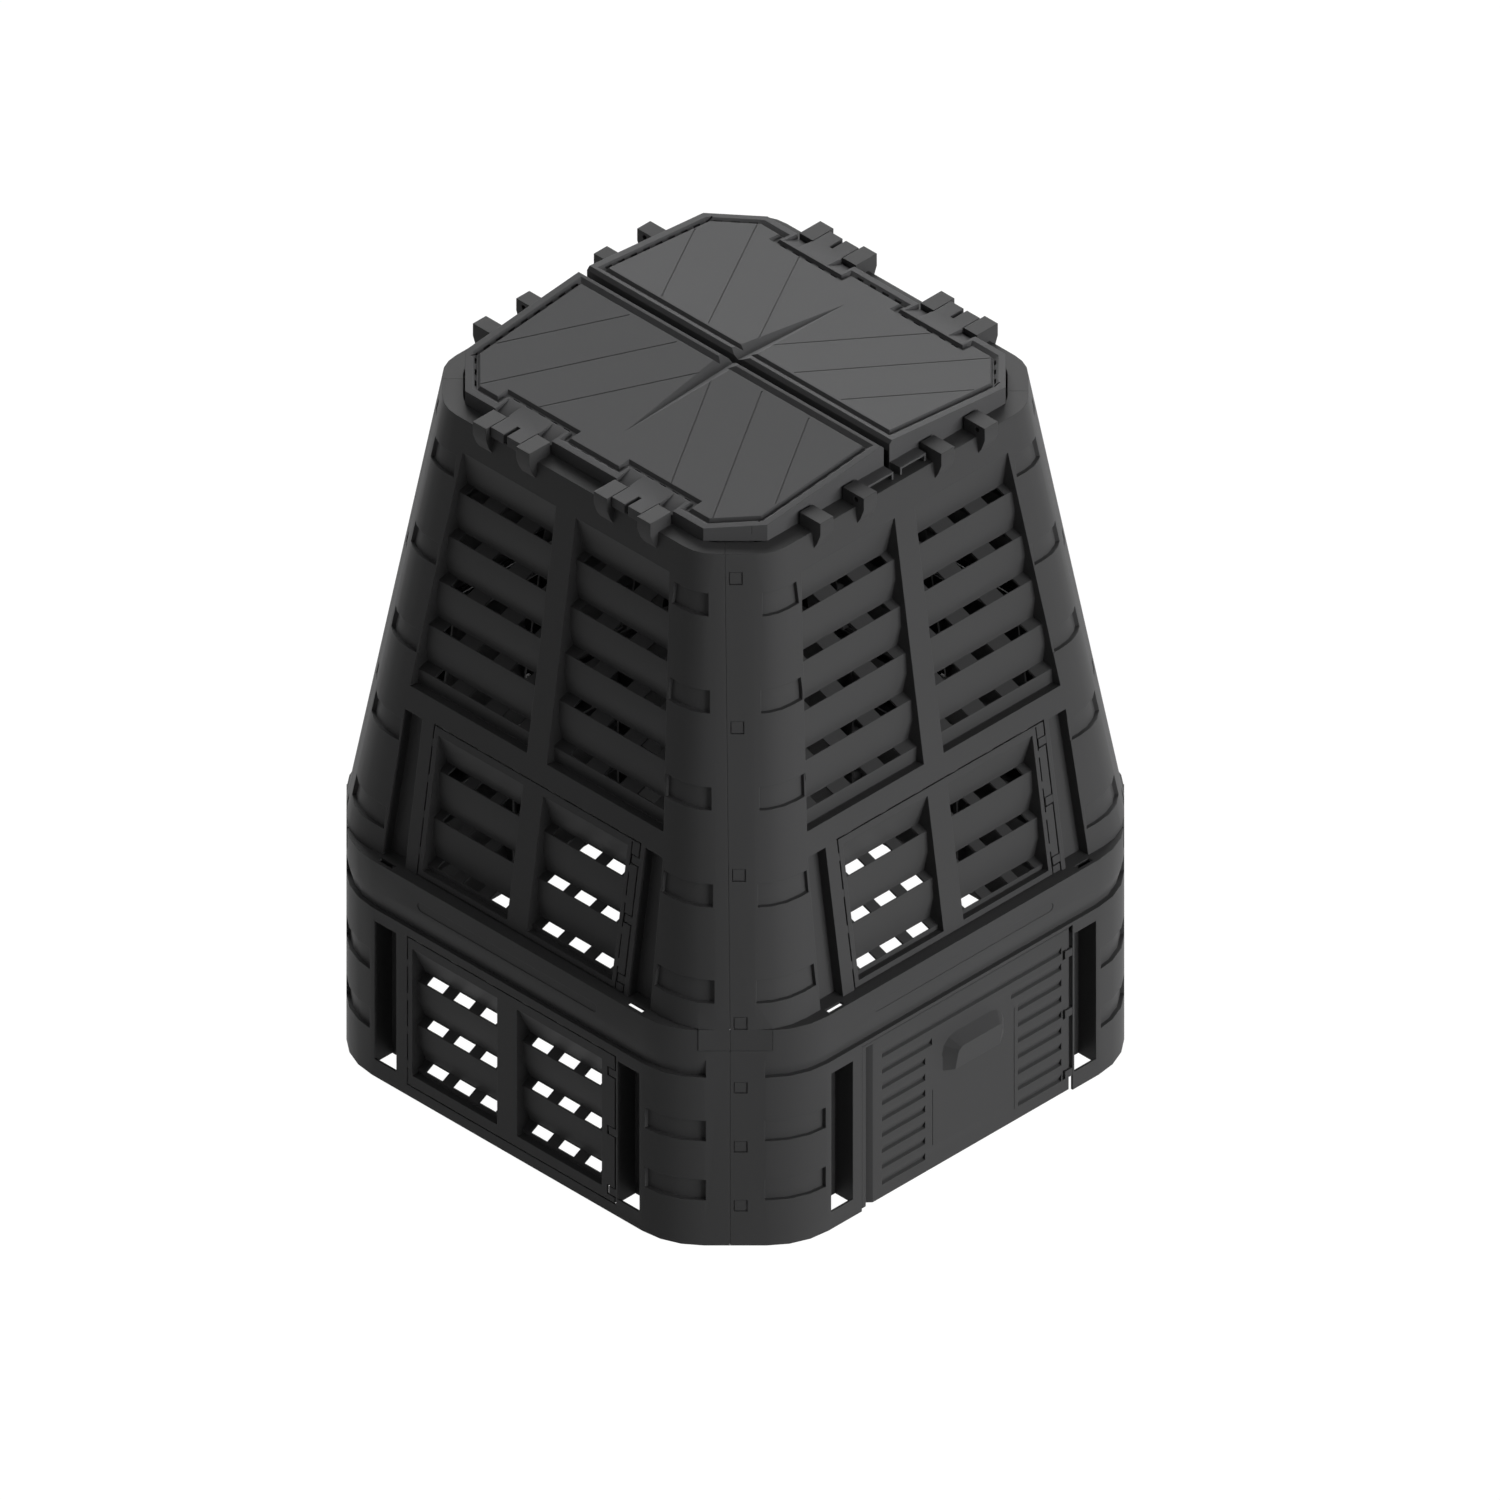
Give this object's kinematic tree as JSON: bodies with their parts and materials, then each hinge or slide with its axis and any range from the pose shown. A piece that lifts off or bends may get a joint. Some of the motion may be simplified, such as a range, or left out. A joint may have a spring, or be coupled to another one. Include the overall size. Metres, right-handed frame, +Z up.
{
  "type": "compost bin",
  "caption": "Square black plastic compost bin: a base ring with access hatches, tapered louvred walls with hinged doors, and a split lid that hinges on ears at the rim.",
  "frame": {"origin": "on the ground, on the upright middle axis of the bin", "axes": "+Z up; the solid front hatch with its handle faces -Y; the seam of the lid runs along Y, so one leaf lies over +X and the other over -X"},
  "size_m": [0.8, 0.814, 1.009],
  "materials": {
    "wall_plastic": "fine moulded grain, satin black",
    "lid_plastic": "fine moulded grain, satin black"
  },
  "bodies": {
    "bin": {"base_wall_front": "wall_plastic", "base_wall_right": "wall_plastic", "base_wall_back": "wall_plastic", "base_wall_left": "wall_plastic", "upper_wall_front": "wall_plastic", "upper_wall_right": "wall_plastic", "upper_wall_back": "wall_plastic", "upper_wall_left": "wall_plastic"},
    "front_hatch": {"front_hatch": "wall_plastic"},
    "base_door_right": {"base_door_right": "wall_plastic"},
    "base_door_back": {"base_door_back": "wall_plastic"},
    "base_door_left": {"base_door_left": "wall_plastic"},
    "upper_door_front": {"upper_door_front": "wall_plastic"},
    "upper_door_right": {"upper_door_right": "wall_plastic"},
    "upper_door_back": {"upper_door_back": "wall_plastic"},
    "upper_door_left": {"upper_door_left": "wall_plastic"},
    "lid_leaf_left": {"lid_leaf_left": "lid_plastic"},
    "lid_leaf_right": {"lid_leaf_right": "lid_plastic"}
  },
  "joints": [
    {"name": "lid_left_hinge", "type": "hinge", "parent": "bin", "child": "lid_leaf_left", "pos_m": [-0.291, 0, 0.9765], "axis": [0, -1, 0], "range_deg": [0, 105]},
    {"name": "lid_right_hinge", "type": "hinge", "parent": "bin", "child": "lid_leaf_right", "pos_m": [0.291, 0, 0.9765], "axis": [0, 1, 0], "range_deg": [0, 105]},
    {"name": "front_hatch_hinge", "type": "hinge", "parent": "bin", "child": "front_hatch", "pos_m": [0.1825, -0.3958, 0.12], "axis": [0, 0, 1], "range_deg": [0, 110]},
    {"name": "base_door_right_hinge", "type": "hinge", "parent": "bin", "child": "base_door_right", "pos_m": [0.3958, 0.1825, 0.124], "axis": [0, 0, 1], "range_deg": [0, 110]},
    {"name": "base_door_back_hinge", "type": "hinge", "parent": "bin", "child": "base_door_back", "pos_m": [-0.1825, 0.3958, 0.124], "axis": [0, 0, 1], "range_deg": [0, 110]},
    {"name": "base_door_left_hinge", "type": "hinge", "parent": "bin", "child": "base_door_left", "pos_m": [-0.3958, -0.1825, 0.124], "axis": [0, 0, 1], "range_deg": [0, 110]},
    {"name": "upper_door_front_hinge", "type": "hinge", "parent": "bin", "child": "upper_door_front", "pos_m": [0.1795, -0.36471, 0.42828], "axis": [0, 0.1455, 0.9894], "range_deg": [0, 110]},
    {"name": "upper_door_right_hinge", "type": "hinge", "parent": "bin", "child": "upper_door_right", "pos_m": [0.36471, 0.1795, 0.42828], "axis": [-0.1455, 0, 0.9894], "range_deg": [0, 110]},
    {"name": "upper_door_back_hinge", "type": "hinge", "parent": "bin", "child": "upper_door_back", "pos_m": [-0.1795, 0.36471, 0.42828], "axis": [0, -0.1455, 0.9894], "range_deg": [0, 110]},
    {"name": "upper_door_left_hinge", "type": "hinge", "parent": "bin", "child": "upper_door_left", "pos_m": [-0.36471, -0.1795, 0.42828], "axis": [0.1455, 0, 0.9894], "range_deg": [0, 110]}
  ]
}
